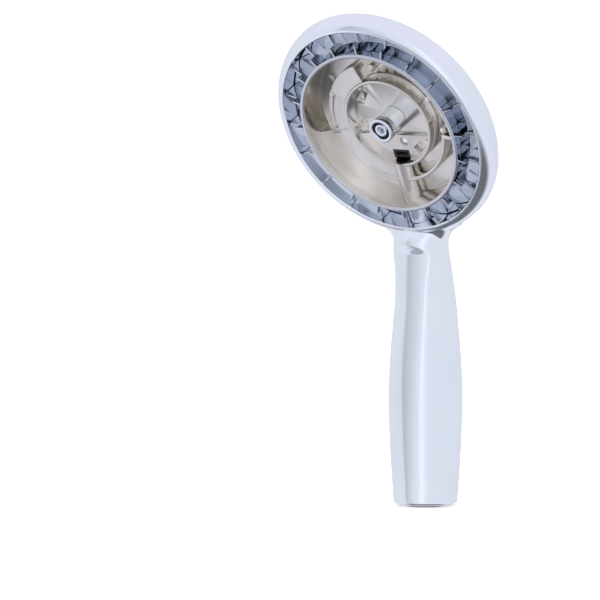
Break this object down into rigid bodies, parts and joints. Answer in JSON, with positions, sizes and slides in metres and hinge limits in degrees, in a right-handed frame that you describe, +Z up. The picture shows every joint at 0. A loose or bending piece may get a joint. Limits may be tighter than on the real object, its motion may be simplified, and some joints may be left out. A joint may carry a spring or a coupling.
{
  "type": "handheld shower head",
  "caption": "Chrome handheld shower head body with an open ribbed head, water chamber, selector cup and tapered handle; the spray face is not fitted.",
  "frame": {"origin": "on the handle axis at the inlet end of the handle, inside the mouth of the hose inlet", "axes": "+Z up the handle axis, -Y to the front where the open face looks, +X to the right of someone facing the back"},
  "size_m": [0.116, 0.0786, 0.2328],
  "materials": {
    "plated_shell": "bright chrome plating over ABS",
    "plated_chamber": "satin nickel and chrome plating over ABS",
    "plated_cup": "satin nickel plating over ABS",
    "plated_brass": "chrome-plated brass",
    "raw_brass": "machined brass",
    "spring_steel": "drawn stainless wire",
    "screen_steel": "etched stainless sheet",
    "black_rubber": "moulded EPDM",
    "white_plastic": "moulded acetal",
    "tube_plastic": "moulded ABS",
    "green_plastic": "moulded acetal"
  },
  "bodies": {
    "root": {"body_shell": "plated_shell", "water_chamber": "plated_chamber", "diverter_cup": "plated_cup", "port_seal": "black_rubber", "centre_post": "plated_brass", "post_insert": "raw_brass", "post_o_ring": "black_rubber", "detent_spring": "spring_steel", "waterway_tube": "tube_plastic", "tube_top_o_ring": "black_rubber", "tube_bottom_o_ring": "black_rubber", "inlet_bush": "plated_brass", "bush_o_ring": "black_rubber", "check_valve_body": "white_plastic", "check_valve_guide": "white_plastic", "check_valve_spring": "spring_steel", "check_valve_o_ring": "black_rubber", "flow_regulator": "green_plastic", "regulator_ring": "black_rubber", "inlet_screen": "screen_steel", "hose_washer": "black_rubber"},
    "detent": {"detent_plunger": "spring_steel"},
    "valve": {"check_valve_poppet": "white_plastic", "poppet_seal": "black_rubber"}
  },
  "joints": [
    {"name": "check_valve_slide", "type": "slide", "parent": "root", "child": "valve", "axis": [0, 0, 1], "range_m": [0, 0.003], "stiffness_N_per_m": 60, "springref_m": -0.002, "deforming": ["check_valve_spring"]},
    {"name": "detent_slide", "type": "slide", "parent": "root", "child": "detent", "axis": [0, 0.8934, 0.4493], "range_m": [0, 0.0012], "stiffness_N_per_m": 300, "springref_m": -0.001, "deforming": ["detent_spring"]}
  ]
}
